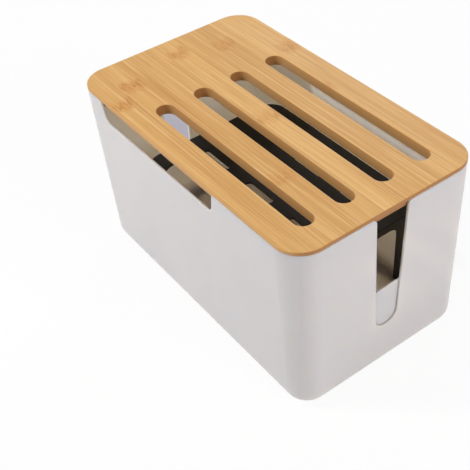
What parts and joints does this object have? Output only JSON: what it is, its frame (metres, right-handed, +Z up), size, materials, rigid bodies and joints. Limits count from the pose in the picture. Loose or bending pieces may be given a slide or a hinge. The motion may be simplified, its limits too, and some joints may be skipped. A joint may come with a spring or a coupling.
{
  "type": "router storage box",
  "caption": "White moulded box that hides a router and its cables, with a slotted bamboo lid that lifts off, a loose black shelf inside, a hand notch and cable slots at the ends.",
  "frame": {"origin": "on the table, under the middle of the box", "axes": "+Z up, X along the box, the long front wall with the hand notch faces -Y, the lid's slots lie towards +X"},
  "size_m": [0.32, 0.188, 0.1826],
  "materials": {
    "white_plastic": "satin white moulding",
    "bamboo": "fine sanded bamboo with a thin matt lacquer",
    "black_plastic": "matt black moulding",
    "rubber": "matt dark grey rubber"
  },
  "bodies": {
    "box": {"storage_box": "white_plastic", "foot_front_left": "rubber", "foot_front_right": "rubber", "foot_back_left": "rubber", "foot_back_right": "rubber"},
    "lid": {"lid": "bamboo"},
    "shelf": {"shelf": "black_plastic"}
  },
  "joints": [
    {"name": "lid_lift", "type": "slide", "parent": "box", "child": "lid", "axis": [0, 0, 1], "range_m": [0, 0.1]},
    {"name": "shelf_lift", "type": "slide", "parent": "box", "child": "shelf", "axis": [0, 0, 1], "range_m": [0, 0.055]}
  ]
}
